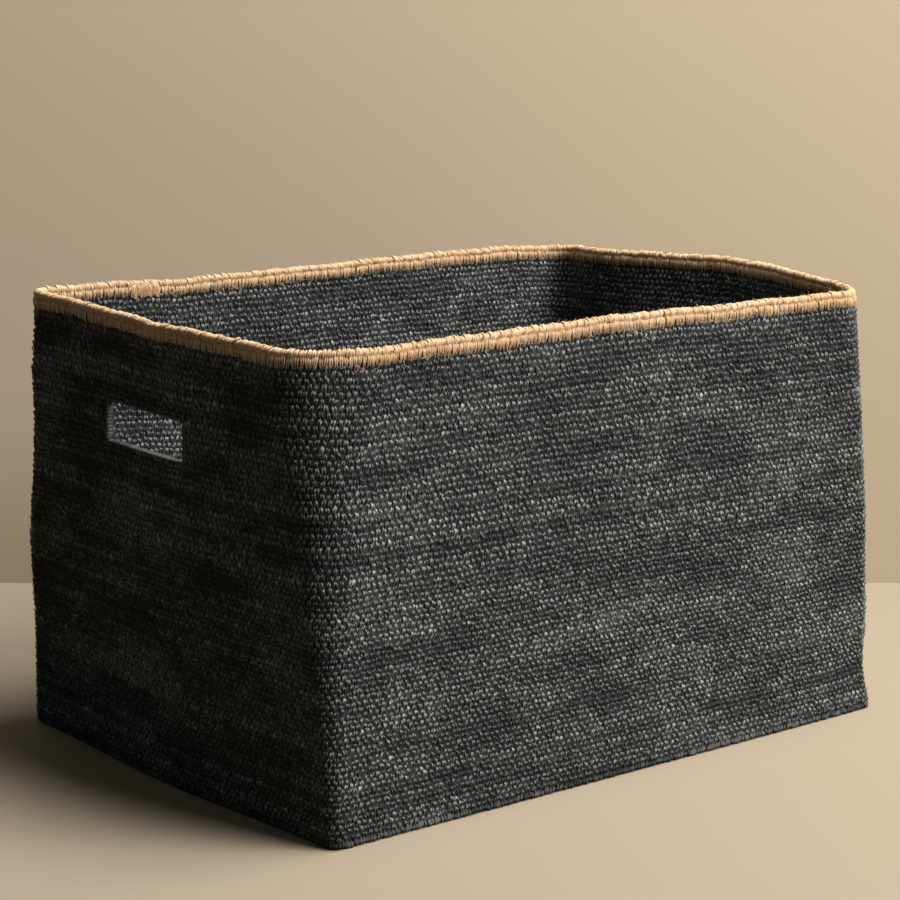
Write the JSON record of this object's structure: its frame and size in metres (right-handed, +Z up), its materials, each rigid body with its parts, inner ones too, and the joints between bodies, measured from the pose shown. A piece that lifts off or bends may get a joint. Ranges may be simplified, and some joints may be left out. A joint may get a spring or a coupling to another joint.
{
  "type": "woven storage basket",
  "caption": "Open rectangular storage basket of stitched grass rounds, with a flat base, soft upright walls, a hand slot in each short wall and an undyed rim.",
  "frame": {"origin": "centre of the basket's overall footprint, on the surface it stands on", "axes": "+Z up, +X along the long walls towards the wall whose mouth bows outward, +Y across the basket from the front long wall to the back one"},
  "size_m": [0.5418, 0.3738, 0.317],
  "materials": {
    "black_seagrass": "matte",
    "natural_seagrass": "matte",
    "grass_core": "matte",
    "grey_edging": "matte"
  },
  "bodies": {
    "root": {"base_panel": "black_seagrass", "base_edge_round": "black_seagrass", "base_edge_core": "grass_core", "lower_wall_rounds": "black_seagrass", "middle_wall_rounds": "black_seagrass", "front_slot_rounds": "black_seagrass", "back_slot_rounds": "black_seagrass", "upper_wall_rounds": "black_seagrass", "left_slot_binding": "grey_edging", "right_slot_binding": "grey_edging", "lower_rim_round": "natural_seagrass", "lower_rim_core": "grass_core", "upper_rim_round": "natural_seagrass", "upper_rim_core": "grass_core", "rim_splice": "natural_seagrass"}
  },
  "joints": []
}
